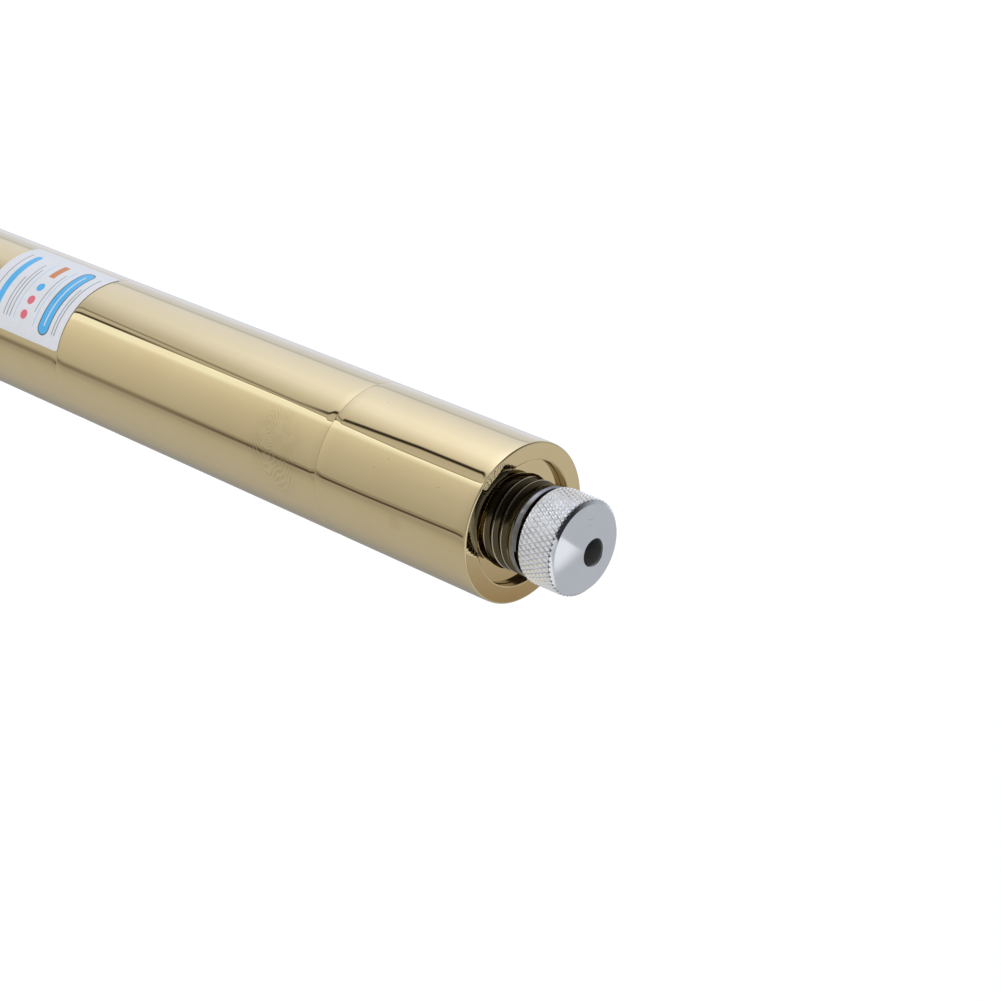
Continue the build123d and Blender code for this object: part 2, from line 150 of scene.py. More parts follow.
class PointerFinish(bpy.types.PropertyGroup):
    """Colours and surface values that a user may change."""

    gold: bpy.props.FloatVectorProperty(
        name="Gold", description="Polished gold plate", default=(0.86, 0.70, 0.40), subtype="COLOR"
    )
    deep_gold: bpy.props.FloatVectorProperty(
        name="Deep gold",
        description="Gold where the plate is thicker",
        default=(0.79, 0.60, 0.31),
        subtype="COLOR",
    )
    silver: bpy.props.FloatVectorProperty(
        name="Silver", description="Bright plate of the cap", default=(0.90, 0.91, 0.93), subtype="COLOR"
    )
    film: bpy.props.FloatVectorProperty(
        name="Film", description="Ground of the label film", default=(0.71, 0.73, 0.77), subtype="COLOR"
    )
    sky_blue: bpy.props.FloatVectorProperty(
        name="Sky blue", description="Printed band", default=(0.05, 0.42, 0.80), subtype="COLOR"
    )
    ink: bpy.props.FloatVectorProperty(
        name="Ink", description="Dark outlines and rules", default=(0.06, 0.065, 0.08), subtype="COLOR"
    )
    rose: bpy.props.FloatVectorProperty(
        name="Rose", description="Printed rings", default=(0.72, 0.12, 0.17), subtype="COLOR"
    )
    orange: bpy.props.FloatVectorProperty(
        name="Orange", description="Printed block", default=(0.60, 0.20, 0.045), subtype="COLOR"
    )
    polish: bpy.props.FloatProperty(
        name="Polish", description="Roughness of the polished gold", default=0.03, min=0, max=1
    )
    waviness: bpy.props.FloatProperty(
        name="Waviness",
        description="Height of the slow waves that hand polishing leaves",
        default=0.0022 * MM,
        unit="LENGTH",
        precision=6,
    )
    smudge: bpy.props.FloatProperty(
        name="Smudge", description="How strongly the fingerprint shows", default=1.0, min=0, max=2
    )


class PointerStudio(bpy.types.PropertyGroup):
    """The studio round the pointer."""

    fill: bpy.props.FloatProperty(
        name="Fill", description="Even light on matt surfaces", default=0.92, min=0, max=2
    )
    key_power: bpy.props.FloatProperty(
        name="Key power", description="Soft lamp above the pointer", default=1.2, min=0, max=20, unit="POWER"
    )
    floor_radius: bpy.props.FloatProperty(
        name="Floor radius", description="Radius of the pale floor", default=0.9, unit="LENGTH"
    )
    floor_lift: bpy.props.FloatProperty(
        name="Floor lift",
        description="Share of white that the camera sees in the floor's shade",
        default=0.18,
        min=0,
        max=1,
    )
    lens: bpy.props.FloatProperty(
        name="Lens", description="Focal length on a 36 mm sensor", default=85.69, min=10, max=300
    )


class Value:
    """A number or colour from a node; plus, minus and times on a number make math nodes."""

    def __init__(self, sheet, socket):
        self.sheet = sheet
        self.socket = socket

    def __add__(self, other):
        return self.sheet.math("ADD", self, other)

    def __radd__(self, other):
        return self.sheet.math("ADD", other, self)

    def __sub__(self, other):
        return self.sheet.math("SUBTRACT", self, other)

    def __rsub__(self, other):
        return self.sheet.math("SUBTRACT", other, self)

    def __mul__(self, other):
        return self.sheet.math("MULTIPLY", self, other)

    def __neg__(self):
        return self * -1.0


class Sheet:
    """A node tree, with short calls for the nodes that the finishes use."""

    def __init__(self, tree):
        self.tree = tree
        tree.nodes.clear()

    def node(self, kind, inputs, **settings):
        """A new node, each input linked to a value or an output, or set to a plain number or colour."""
        made = self.tree.nodes.new(kind)
        for key, setting in settings.items():
            setattr(made, key, setting)
        for key, value in inputs.items():
            source = value.socket if isinstance(value, Value) else value
            if isinstance(source, bpy.types.NodeSocket):
                self.tree.links.new(source, made.inputs[key])
            else:
                made.inputs[key].default_value = source
        return made

    def value(self, kind, inputs, output=0, **settings):
        """One output of a new node."""
        return Value(self, self.node(kind, inputs, **settings).outputs[output])

    def math(self, operation, first, second=0.0):
        return self.value("ShaderNodeMath", {0: first, 1: second}, operation=operation)

    def ease(self, value, low, high, to_low=0.0, to_high=1.0, kind="SMOOTHSTEP"):
        """Goes smoothly from to_low to to_high while the value goes from low to high."""
        inputs = {"Value": value, "From Min": low, "From Max": high, "To Min": to_low, "To Max": to_high}
        return self.value("ShaderNodeMapRange", inputs, "Result", interpolation_type=kind)

    def ramp(self, value, low, high, to_low, to_high):
        """Goes straight from to_low to to_high while the value goes from low to high."""
        return self.ease(value, low, high, to_low, to_high, "LINEAR")

    def vary(self, noise, to_low, to_high):
        """Goes straight from to_low to to_high over the range where most of a noise lies."""
        return self.ramp(noise, 0.3, 0.7, to_low, to_high)

    def between(self, value, low, high, soft):
        """One between two limits and zero outside them, with soft borders."""
        return self.ease(value - low, -soft, soft) * self.ease(value - high, -soft, soft, 1.0, 0.0)

    def mix(self, share, first, second):
        """The first colour where the share is zero, the second where it is one."""
        return self.value("ShaderNodeMix", {"Factor": share, 6: first, 7: second}, 2, data_type="RGBA")

    def noise(self, vector, scale, detail=2.0, roughness=0.5, distortion=0.0):
        inputs = {"Vector": vector, "Scale": scale, "Detail": detail, "Roughness": roughness}
        return self.value("ShaderNodeTexNoise", inputs | {"Distortion": distortion}, "Fac")

    def bump(self, height, distance, under=None):
        """The surface's direction with a relief, on top of another relief where one is given."""
        inputs = {"Height": height, "Distance": distance, "Strength": 1.0}
        if under is not None:
            inputs["Normal"] = under
        return self.value("ShaderNodeBump", inputs, "Normal")

    def split(self, vector):
        """The three coordinates of a vector."""
        return [Value(self, output) for output in self.node("ShaderNodeSeparateXYZ", {0: vector}).outputs]

    def join(self, first, second=0.0, third=0.0):
        return self.value("ShaderNodeCombineXYZ", {0: first, 1: second, 2: third})

    def distance(self, beside, along):
        return self.math("SQRT", beside * beside + along * along)

    def leaning(self, beside, along, degrees):
        """The same point measured on axes that lean by an angle."""
        cosine, sine = math.cos(math.radians(degrees)), math.sin(math.radians(degrees))
        return beside * cosine + along * sine, beside * -sine + along * cosine

    def turn(self, across, away):
        """The angle round the Z axis, 0 on the camera's side and growing towards the label."""
        return self.math("ARCTAN2", -across, -away)

    def place(self):
        """Object coordinates, and the same point as arc length, height and distance from the axis."""
        point = self.value("ShaderNodeTexCoord", {}, "Object")
        across, away, height = self.split(point)
        arc = self.turn(across, away) * body_radius
        radius = self.distance(across, away)
        wrapped = self.join(arc, height, radius)
        return SimpleNamespace(point=point, arc=arc, height=height, radius=radius, wrapped=wrapped)

    def lathe_rings(self, place, scale):
        """Fine rings round the axis, as a lathe leaves them."""
        return self.noise(self.join(place.radius, place.height), scale)

    def surface(self, tone, rough, normal, **inputs):
        """A principled shader wired to the output; words in the input names stand for its sockets."""
        named = {"Base Color": tone, "Roughness": rough, "Normal": normal}
        for key, value in inputs.items():
            named[key.replace("_", " ").title().replace("Ior", "IOR")] = value
        shader = self.node("ShaderNodeBsdfPrincipled", named)
        self.node("ShaderNodeOutputMaterial", {"Surface": shader.outputs[0]})


def colour(value, share=1.0):
    """A socket's colour from a property's colour, made darker or lighter by a share."""
    return (*(Vector(value) * share), 1.0)


def new_material(name):
    material = bpy.data.materials.new(name)
    material.use_nodes = True
    return material, Sheet(material.node_tree)


def finish_of(make):
    """The material that a function below makes, built the first time that a piece asks for it."""
    name = f"{make.__name__}_finish"
    found = bpy.data.materials.get(name)
    if found is None:
        found, sheet = new_material(name)
        make(sheet, bpy.context.scene.pointer_finish)
    return found


# Finishes. Places and sizes of marks are in millimetres


def speck(sheet, place, arc, height, radius):
    """A small soft-edged mark on the wall, one at its middle."""
    reach = sheet.distance(place.arc - arc * MM, place.height - height * MM)
    return sheet.ease(reach, radius * MM * 0.4, radius * MM, 1.0, 0.0)


def fingerprint(sheet, place):
    """Two values for a smudge: how much of it is here, and its ridges, which circle the whorl."""
    whorl, middle = (-0.8, 145.6), (-4.4, 148.2)
    half_width, half_length = 8.2 * MM, 6.8 * MM
    lean = -17
    ridge_density = 104.0
    drift = sheet.noise(place.wrapped, 150.0)

    def reach(centre, draw_out):
        beside = place.arc - centre[0] * MM
        along = place.height - centre[1] * MM
        long_way, short_way = sheet.leaning(beside, along, lean)
        return sheet.distance(long_way * (1.0 / (half_width * draw_out)), short_way * (1.0 / half_length))

    bent = reach(whorl, 1.35) + sheet.ramp(drift, 0.0, 1.0, -0.3, 0.3)
    ridges = sheet.math("SINE", bent * ridge_density)
    patchy = sheet.ease(sheet.noise(place.wrapped, 560.0, 4.0, 0.65), 0.38, 0.60)
    border = reach(middle, 1.0) + sheet.ramp(drift, 0.0, 1.0, -0.2, 0.2)
    cover = sheet.ease(border, 0.5, 1.0, 1.0, 0.0) * sheet.ramp(patchy, 0.0, 1.0, 0.25, 1.0)
    return cover, ridges


def gold_plate(sheet, finish):
    """Mirror-polished gold with slow polishing waves, a fingerprint, a smear and a few specks."""
    place = sheet.place()
    cover, ridges = fingerprint(sheet, place)
    cover = cover * finish.smudge
    # In this finish the mask holds only the fingerprint's grease, no painted shade.
    grease_and_painted_shade = cover * sheet.ramp(ridges, -1.0, 1.0, 0.0, 1.0)
    smear = speck(sheet, place, -7.4, 173.4, 1.6)
    spots = ((-0.82, 167.7, 0.13), (0.02, 180.0, 0.16), (1.05, 169.7, 0.12), (9.38, 162.6, 0.12))
    first, *others = [speck(sheet, place, *spot) for spot in spots]
    marks = sheet.math("MINIMUM", sum(others, first), 1.0)
    cloud = sheet.ease(sheet.noise(place.point, 90.0, 3.0, 0.55), 0.35, 0.75)
    tone = sheet.mix(cloud * 0.22, colour(finish.gold), colour(finish.deep_gold))
    tone = sheet.mix(grease_and_painted_shade * 0.42, tone, colour(finish.deep_gold, 0.66))
    tone = sheet.mix(smear * 0.22, tone, colour(finish.deep_gold, 0.8))
    tone = sheet.mix(marks * 0.45, tone, colour(finish.deep_gold, 0.35))
    haze = sheet.noise(place.point, 320.0)
    rough = sheet.vary(haze, finish.polish * 0.6, finish.polish * 1.5)
    rough = rough + grease_and_painted_shade * 0.13 + marks * 0.25 + smear * 0.05
    normal = sheet.bump(sheet.noise(place.wrapped, 210.0, 1.0), finish.waviness)
    normal = sheet.bump(ridges * cover, 0.0009 * MM, normal)
    normal = sheet.bump(marks, 0.012 * MM, normal)
    sheet.surface(tone, rough, normal, metallic=1.0)


def gold_turned(sheet, finish):
    """Gold plate over turned metal: joints, bores, threads and the front recess's wall, in a darker gold that
    paints the shade in these hollows.
    """
    rings = sheet.lathe_rings(sheet.place(), 5200.0)
    # Painted shade: both tones of the rings are darkened gold.
    light, dark = colour(finish.deep_gold, 0.62), colour(finish.deep_gold, 0.42)
    tone = sheet.mix(sheet.vary(rings, 0.0, 1.0), light, dark)
    sheet.surface(tone, sheet.vary(rings, 0.08, 0.18), sheet.bump(rings, 0.003 * MM), metallic=1.0)


def silver_turned(sheet, finish):
    """Bright plate over fine turned rings, with two short scratches across the face."""
    place = sheet.place()
    rings = sheet.lathe_rings(place, 3800.0)
    across, away, _ = sheet.split(place.point)
    scratches = (((-4.05, -2.45), -70.0, 0.62, 0.03), ((-3.2, -2.6), -58.0, 0.25, 0.02))
    scratch = 0.0
    for middle, lean, length, width in scratches:
        along, over = sheet.leaning(across - middle[0] * MM, away - middle[1] * MM, lean)
        line = sheet.between(along, -length * MM, length * MM, 0.1 * MM)
        line = line * sheet.between(over, -width * MM, width * MM, 0.02 * MM)
        scratch = sheet.math("MAXIMUM", line, scratch)
    dull = sheet.ease(sheet.noise(place.point, 260.0, 3.0), 0.4, 0.75)
    tone = sheet.mix(dull * 0.12, colour(finish.silver), colour(finish.silver, 0.72))
    rough = sheet.vary(rings, 0.05, 0.11) + scratch * 0.3 + dull * 0.04
    normal = sheet.bump(rings, 0.0011 * MM)
    normal = sheet.bump(-scratch, 0.02 * MM, normal)
    sheet.surface(tone, rough, normal, metallic=1.0)


def dark_shank(sheet, finish):
    """Turned metal of the cap's collar, relief and thread crests: a darkened copy of the cap's silver that is
    painted shade and painted dark reflection, with painted shade tinted brown by the gold's reflection in the
    grooves and relief, and a painted gold-tinted reflection on the crests.
    """
    place = sheet.place()
    rings = sheet.lathe_rings(place, 4600.0)
    stain = sheet.ease(sheet.noise(place.wrapped, 380.0, 3.0), 0.35, 0.7)
    bands = sheet.ease(sheet.noise(sheet.join(place.height), 2300.0, 1.0), 0.46, 0.58)
    # Painted shade and dark reflection: these steel tones are far darker than the cap's silver; the stains
    # and bands are the metal's own.
    steel = sheet.mix(stain * 0.5, (0.34, 0.33, 0.32, 1), (0.16, 0.155, 0.15, 1))
    steel = sheet.mix(bands * 0.4, steel, (0.10, 0.10, 0.10, 1))
    # Painted shade, brown from the gold's reflection, in the grooves and the relief; painted gold-tinted
    # reflection on the crests.
    grease_and_painted_shade = colour(finish.deep_gold, 0.16)
    bright = colour(Vector(finish.silver) + Vector(finish.gold), 0.48)
    threaded = sheet.mix(sheet.ease(place.radius, 6.73 * MM, 6.775 * MM), grease_and_painted_shade, bright)
    above_thread = sheet.ease(place.height, front_face + 2.80 * MM, front_face + 2.86 * MM)
    raised = above_thread * sheet.ease(place.radius, 6.35 * MM, 6.55 * MM)
    tone = sheet.mix(raised, threaded, steel)
    sheet.surface(tone, sheet.vary(rings, 0.10, 0.2), sheet.bump(rings, 0.003 * MM), metallic=1.0)


def silver_knurl(sheet, finish):
    """Satin bright plate on rolled diamonds, in a lighter copy of the silver that is painted light, with
    painted shade in its grooves, its last row and its hole.
    """
    place = sheet.place()
    grain = sheet.noise(place.point, 2600.0, 3.0, 0.6)
    patches = sheet.ease(sheet.noise(place.point, 800.0), 0.38, 0.62, 0.5, 1.0)
    # Painted shade at the bottoms of the grooves, patchy.
    groove_painted_shade = sheet.ease(place.radius - 6.8 * MM, 0.0, 0.2 * MM, 1.0, 0.0) * patches
    # Painted shade in the grooves of the last row of diamonds, by the face's bevel.
    last_row = sheet.ease(place.height, front_face + 10.6 * MM, front_face + 10.82 * MM)
    ends = last_row * sheet.ease(place.radius, 6.93 * MM, 7.03 * MM, 1.0, 0.0)
    # Painted shade in the aperture and on the seat round it.
    hole = sheet.ease(place.radius, 3.0 * MM, 4.0 * MM, 0.95, 0.0)
    # The ground is a lighter copy of the silver: painted light.
    tone = sheet.mix(groove_painted_shade * 0.72, colour(finish.silver, 1.15), colour(finish.silver, 0.18))
    tone = sheet.mix(ends * 0.9, tone, colour(finish.silver, 0.12))
    tone = sheet.mix(hole, tone, colour(finish.silver, 0.24))
    rough = sheet.vary(grain, 0.06, 0.13) + groove_painted_shade * 0.12
    sheet.surface(tone, rough, sheet.bump(grain, 0.004 * MM), metallic=0.68)


LABEL_UNIT = 25.0  # millimetres of film in one unit of its coordinates


def label_print(sheet, finish):
    """Gloss film with a generic print: a plain round-ended bar, dots, a block and rules."""
    up, along, _ = sheet.split(sheet.value("ShaderNodeUVMap", {}, uv_map="print"))
    up = up * LABEL_UNIT
    along = along * LABEL_UNIT
    soft = 0.05

    def box(low_up, high_up, low_along, high_along):
        return sheet.between(up, low_up, high_up, soft) * sheet.between(along, low_along, high_along, soft)

    def bar(low_up, high_up, middle_along, radius):
        """A bar with round ends that runs up the film between two points; a dot where they are one."""
        nearest = sheet.math("MINIMUM", sheet.math("MAXIMUM", up, low_up), high_up)
        reach = sheet.distance(up - nearest, along - middle_along)
        return sheet.ease(reach, radius - soft, radius + soft, 1.0, 0.0)

    film = colour(finish.film)
    ink = colour(finish.ink)
    blue = colour(finish.sky_blue)
    rose = colour(finish.rose)
    pale_blue = colour(Vector(finish.sky_blue) * 0.5 + Vector(finish.film) * 0.5)
    grey = colour(Vector(finish.ink) * 0.45 + Vector(finish.film) * 0.3)
    tone = film
    for share, shade in (
        (bar(2.9, 14.3, 4.6, 1.36), ink),
        (bar(2.9, 14.3, 4.6, 1.16), blue),
        (bar(3.2, 14.0, 4.6, 0.12), film),
        (box(2.2, 14.8, 1.5, 1.72), grey),
        (box(2.2, 11.2, 2.15, 2.35), grey),
        (box(2.4, 14.6, 7.1, 7.28), pale_blue),
        (box(4.6, 12.8, 7.9, 8.08), grey),
        (bar(3.6, 3.6, 10.2, 0.8), rose),
        (bar(6.2, 6.2, 10.2, 0.8), rose),
        (bar(8.8, 8.8, 10.2, 0.8), blue),
        (box(11.2, 14.8, 9.5, 10.9), colour(finish.orange)),
        (box(2.4, 14.6, 12.3, 12.48), pale_blue),
        (box(2.4, 12.0, 13.3, 13.5), grey),
        (box(2.4, 13.4, 14.1, 14.3), grey),
        (box(2.4, 9.6, 14.9, 15.1), grey),
        (bar(3.0, 14.2, 17.4, 0.7), blue),
        (box(2.2, 14.8, 19.2, 19.4), grey),
    ):
        tone = sheet.mix(share, tone, shade)
    grain = sheet.noise(sheet.place().point, 900.0, 3.0)
    tone = sheet.mix(sheet.vary(grain, 0.0, 0.06), tone, colour(finish.film, 0.6))
    rough = sheet.vary(grain, 0.30, 0.42)
    sheet.surface(tone, rough, sheet.bump(grain, 0.002 * MM), coat_weight=0.25, coat_roughness=0.12)


def turned_brass(sheet, finish):
    rings = sheet.lathe_rings(sheet.place(), 4200.0)
    tone = sheet.mix(sheet.vary(rings, 0.0, 1.0), (0.72, 0.53, 0.24, 1), (0.58, 0.40, 0.16, 1))
    sheet.surface(tone, sheet.vary(rings, 0.2, 0.34), sheet.bump(rings, 0.004 * MM), metallic=1.0)


def grained(name, scale, detail, dark, light, rough, relief, metallic=0.0):
    """A finish of one colour that a fine grain makes darker and lighter; its relief is in millimetres."""

    def make(sheet, finish):
        grain = sheet.noise(sheet.place().point, scale, detail)
        tone = sheet.mix(grain, colour(dark), colour(light))
        sheet.surface(tone, sheet.vary(grain, *rough), sheet.bump(grain, relief * MM), metallic=metallic)

    make.__name__ = name
    return make


def circuit_board(sheet, finish):
    """Green solder mask with faint copper tracks under it."""
    inputs = {"Vector": sheet.place().point, "Scale": 700.0}
    tracks = sheet.value("ShaderNodeTexVoronoi", inputs, "Distance", distance="MANHATTAN")
    line = sheet.between(tracks, 0.28, 0.36, 0.02)
    tone = sheet.mix(line, (0.02, 0.14, 0.06, 1), (0.06, 0.30, 0.13, 1))
    sheet.surface(tone, sheet.ramp(line, 0.0, 1.0, 0.32, 0.24), sheet.bump(line, 0.02 * MM))


def cell_film(sheet, finish):
    """Blue shrink film, drawn white over the crimped ends, with fine shrink ripples."""
    place = sheet.place()
    ripple = sheet.noise(place.wrapped, 600.0, 3.0, 0.5, 0.6)
    inside = sheet.ease(place.radius, 6.9 * MM, 7.1 * MM)
    nickel = sheet.ease(place.radius, 5.1 * MM, 5.3 * MM, 1.0, 0.0)
    tone = sheet.mix(ripple, (0.05, 0.17, 0.33, 1), (0.08, 0.23, 0.41, 1))
    tone = sheet.mix(inside, (0.78, 0.78, 0.76, 1), tone)
    tone = sheet.mix(nickel, tone, (0.50, 0.50, 0.49, 1))
    sheet.surface(tone, sheet.vary(ripple, 0.24, 0.36), sheet.bump(ripple, 0.02 * MM))


def optical_glass(sheet, finish):
    """Clear glass with the faint lines of a diffraction pattern."""
    across, _, _ = sheet.split(sheet.place().point)
    ruled = sheet.math("SINE", across * 42000.0)
    tone = sheet.mix(sheet.ramp(ruled, -1.0, 1.0, 0.0, 1.0), (0.86, 0.90, 0.93, 1), (0.93, 0.95, 0.96, 1))
    sheet.surface(tone, 0.02, sheet.bump(ruled, 0.002 * MM), ior=1.52, transmission_weight=1.0)


INNER_FINISHES = (
    turned_brass,
    grained("spring_steel", 1500.0, 3.0, (0.50, 0.50, 0.51), (0.68, 0.68, 0.70), (0.22, 0.36), 0.003, 1.0),
    grained("black_rubber", 1800.0, 4.0, (0.018, 0.018, 0.02), (0.045, 0.045, 0.048), (0.35, 0.5), 0.008),
    grained("black_nylon", 2400.0, 3.0, (0.035, 0.035, 0.038), (0.06, 0.06, 0.062), (0.45, 0.6), 0.012),
    grained("white_nylon", 2000.0, 3.0, (0.74, 0.72, 0.66), (0.82, 0.80, 0.75), (0.38, 0.5), 0.008),
    grained("diode_can", 2200.0, 3.0, (0.72, 0.60, 0.30), (0.84, 0.72, 0.42), (0.16, 0.28), 0.004, 1.0),
    circuit_board,
    cell_film,
    optical_glass,
)


# Shapes


def finish_mesh(name, vertices, faces, materials, sharp_angle=24.0):
    """Makes an object of a mesh: doubles merged, normals outwards, smooth but for its sharp edges."""
    mesh = bpy.data.meshes.new(name)
    mesh.from_pydata(vertices, [], faces)
    work = bmesh.new()
    work.from_mesh(mesh)
    bmesh.ops.remove_doubles(work, verts=work.verts, dist=1e-7)
    bmesh.ops.dissolve_degenerate(work, edges=work.edges, dist=1e-8)
    bmesh.ops.recalc_face_normals(work, faces=work.faces)
    work.to_mesh(mesh)
    work.free()
    mesh.polygons.foreach_set("use_smooth", [True] * len(mesh.polygons))
    mesh.set_sharp_from_angle(angle=math.radians(sharp_angle))
    for material in materials:
        mesh.materials.append(material)
    made = bpy.data.objects.new(name, mesh)
    bpy.context.scene.collection.objects.link(made)
    return made


def turned(name, outline, columns, materials, choose=None, thread=None):
    """A solid turned round the Z axis from a closed outline.

    A point of the outline is (radius, height), or a list of such pairs with one
    for each column. Rows of a thread, from thread[0] to thread[1], climb
    thread[2] rows in each turn. choose gives each face its material's number.
    """
    vertices = []
    for column in range(columns):
        cosine, sine = math.cos(math.tau * column / columns), math.sin(math.tau * column / columns)
        for point in outline:
            radius, height = point[column] if isinstance(point, list) else point
            vertices.append((radius * cosine, radius * sine, height))
    rows = len(outline)
    faces = []
    for column in range(columns):
        last = column == columns - 1

        def beside(row):
            if last and thread and thread[0] <= row <= thread[1]:
                row = min(row + thread[2], thread[1])
            return (0 if last else (column + 1) * rows) + row

        for row in range(rows):
            above = (row + 1) % rows
            faces.append((column * rows + row, beside(row), beside(above), column * rows + above))
    made = finish_mesh(name, vertices, faces, materials)
    if choose:
        for polygon in made.data.polygons:
            middle = polygon.center
            polygon.material_index = choose(math.hypot(middle.x, middle.y), middle.z)
    return made


def round_corner(edge, size, height, toward):
    """A rounded outer corner, from the wall to the end face; toward is 1 at an upper end, else -1."""
    steps = 6
    points = []
    for step in range(steps + 1):
        angle = math.radians(90 * step / steps)
        points.append((edge - size + size * math.cos(angle), height - toward * size * (1 - math.sin(angle))))
    points.append((edge - size - 0.04 * MM, height))
    return points


def polished_wall(shape, bottom, top, bottom_round, top_round):
    """The outer wall of a body section, from its lower end face to its upper one."""
    steps = 9
    fall = []
    for step in range(1, steps + 1):
        share = step / steps
        fall.append((shape.rolloff_width * share, shape.rolloff_drop * (1 - share) ** 2))
    low = [(body_radius - drop, bottom + bottom_round + way) for way, drop in fall]
    high = [(body_radius - drop, top - top_round - way) for way, drop in reversed(fall)]
    edge = body_radius - shape.rolloff_drop
    low_corner = round_corner(edge, bottom_round, bottom, -1)
    return [*reversed(low_corner), *low, *high, *round_corner(edge, top_round, top, 1)]


def side_angle(column, columns):
    """Where a column stands, in degrees from the camera's side and growing towards the label."""
    return (90 - 360 * column / columns) % 360 - 180


def ease(value, low, high):
    share = max(0.0, min(1.0, (value - low) / (high - low)))
    return share * share * (3 - 2 * share)


# One pitch of a thread: how far along it, and how much of the depth stands there
COARSE_PROFILE = ((-0.36, 0.0), (-0.17, 0.92), (-0.12, 1.0), (0.12, 1.0), (0.17, 0.92), (0.36, 0.0))
FINE_PROFILE = ((-0.43, 0.0), (-0.08, 0.93), (-0.045, 1.0), (0.045, 1.0), (0.08, 0.93), (0.43, 0.0))


def thread_rows(profile, root, depth, pitch, bottom, top, start, turns, columns, lead):
    """Rows of a right-hand thread between two heights; its ends ramp up within lead turns."""
    first = math.floor((bottom - start) / pitch) - 1
    last = math.ceil((top - start) / pitch) + 1
    rows = []
    for turn in range(first, last + 1):
        for offset, share in profile:
            row = []
            for column in range(columns):
                place = turn + column / columns
                height = start + pitch * (place + offset)
                fade = max(0.0, min(1.0, place / lead, (turns - place) / lead))
                inside = bottom < height < top
                row.append((root + (depth * share * fade if inside else 0.0), min(max(height, bottom), top)))
            rows.append(row)
    return rows, len(profile)


def ends(node):
    """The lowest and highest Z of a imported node."""
    low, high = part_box(node)
    return low.z, high.z


def joint_socket(shape):
    """Radius of the bore that takes a spigot."""
    return shape.joint_radius + shape.joint_clearance


def stand_for(piece, body, slot, *nodes):
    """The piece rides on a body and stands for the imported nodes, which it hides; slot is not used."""
    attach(piece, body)
    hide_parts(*nodes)


def dress(node, make):
    """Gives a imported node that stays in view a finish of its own."""
    for slot in frame["nodes"][node].material_slots:
        slot.material = finish_of(make)


SPIGOT_LENGTH = 8 * MM
SOCKET_DEPTH = 8.3 * MM
PLAY = 0.05 * MM  # left round an inner part
HAIR = 0.005 * MM  # how far past an edge a finish changes


class POINTER_OT_head_section(bpy.types.Operator):
    """Builds the front section with its flat rim and recess, and the insert in the recess"""

    bl_idname = "pointer.head_section"
    bl_label = "Front section and insert"

    def execute(self, context):
        shape = context.scene.pointer_shape
        insert_low, insert_high = ends("front_insert")
        recess = shape.recess_radius
        ledge = recess - 0.7 * MM
        lip = 0.12 * MM
        wear_start = 10.6 * MM
        flat_edge = body_radius - shape.rolloff_drop - shape.rim_round
        shares = []
        for column in range(shape.columns):
            angle = side_angle(column, shape.columns)
            shares.append(ease(angle, 8.5, 11.0) * (1 - ease(angle, 22.0, 37.0)))

        def worn(point):
            """A point of the rim in each column, lower where the rim is worn to a flat."""
            radius, height = point
            reach = max(0.0, min(radius, flat_edge) - wear_start)
            near = max(0.0, (height - front_face) / shape.rim_round + 1)
            return [(radius, height - shape.rim_wear * reach * near * share) for share in shares]

        wall = polished_wall(shape, head_seam, front_face, shape.seam_round, shape.rim_round)
        rim = [(radius * MM, front_face) for radius in (11.5, 11.2, 10.9, 10.62, 10.55)]
        outline = [
            *[worn(point) for point in (*wall, *rim)],
            (recess + lip + 0.05 * MM, front_face),
            (recess + lip, front_face),
            (recess + lip * 0.3, front_face - lip * 0.3),
            (recess, front_face - lip),
            (recess, front_face - lip - 0.05 * MM),
            (recess, insert_low),
            (ledge, insert_low),
            (ledge, head_seam + SOCKET_DEPTH),
            (joint_socket(shape), head_seam + SOCKET_DEPTH),
            (joint_socket(shape), head_seam),
        ]

        # The recess wall takes the turned finish, whose darker gold is painted shade.
        def choose(radius, height):
            return 1 if radius < recess + HAIR or height < head_seam + 2 * HAIR else 0

        finishes = [finish_of(gold_plate), finish_of(gold_turned)]
        tube = turned("head_tube_shell", outline, shape.columns, finishes, choose)
        stand_for(tube, "pointer_body", "gold_plate", "head_tube")

        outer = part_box("front_insert")[1].x
        bore = shape.insert_bore
        edge = 0.07 * MM
        outline = [
            (outer, insert_low),
            (outer, insert_high - edge),
            (outer - edge, insert_high),
            (bore + 2.5 * edge, insert_high),
            (bore + 2 * edge, insert_high),
            (bore, insert_high - 2 * edge),
            (bore, insert_high - 2.5 * edge),
            (bore, insert_low),
        ]
        insert = turned("front_insert_disc", outline, shape.columns, [finish_of(gold_plate)])
        stand_for(insert, "pointer_body", "gold_plate", "front_insert")
        return {"FINISHED"}


class POINTER_OT_main_barrel(bpy.types.Operator):
    """Builds the middle section that holds the laser module"""

    bl_idname = "pointer.main_barrel"
    bl_label = "Middle section"

    def execute(self, context):
        shape = context.scene.pointer_shape
        module_low, _ = ends("module_housing")
        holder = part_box("driver_holder")[1].x + PLAY
        outline = [
            *polished_wall(shape, label_seam, head_seam, shape.seam_round, shape.seam_round),
            (shape.joint_radius, head_seam),
            (shape.joint_radius, head_seam + SPIGOT_LENGTH),
            (shape.cell_bore, head_seam + SPIGOT_LENGTH),
            (shape.cell_bore, module_low),
            (holder, module_low),
            (holder, label_seam + SOCKET_DEPTH),
            (joint_socket(shape), label_seam + SOCKET_DEPTH),
            (joint_socket(shape), label_seam),
        ]
        barrel = turned("main_barrel_shell", outline, shape.columns, [finish_of(gold_plate)])
        stand_for(barrel, "pointer_body", "gold_plate", "main_barrel")
        return {"FINISHED"}


def ring_groove(shape, low):
    """A groove for a sealing ring round a spigot, from its lower edge up."""
    joint, floor, high = shape.joint_radius, shape.joint_radius - 0.75 * MM, low + 1.1 * MM
    return [(joint, low), (floor, low), (floor, high), (joint, high)]


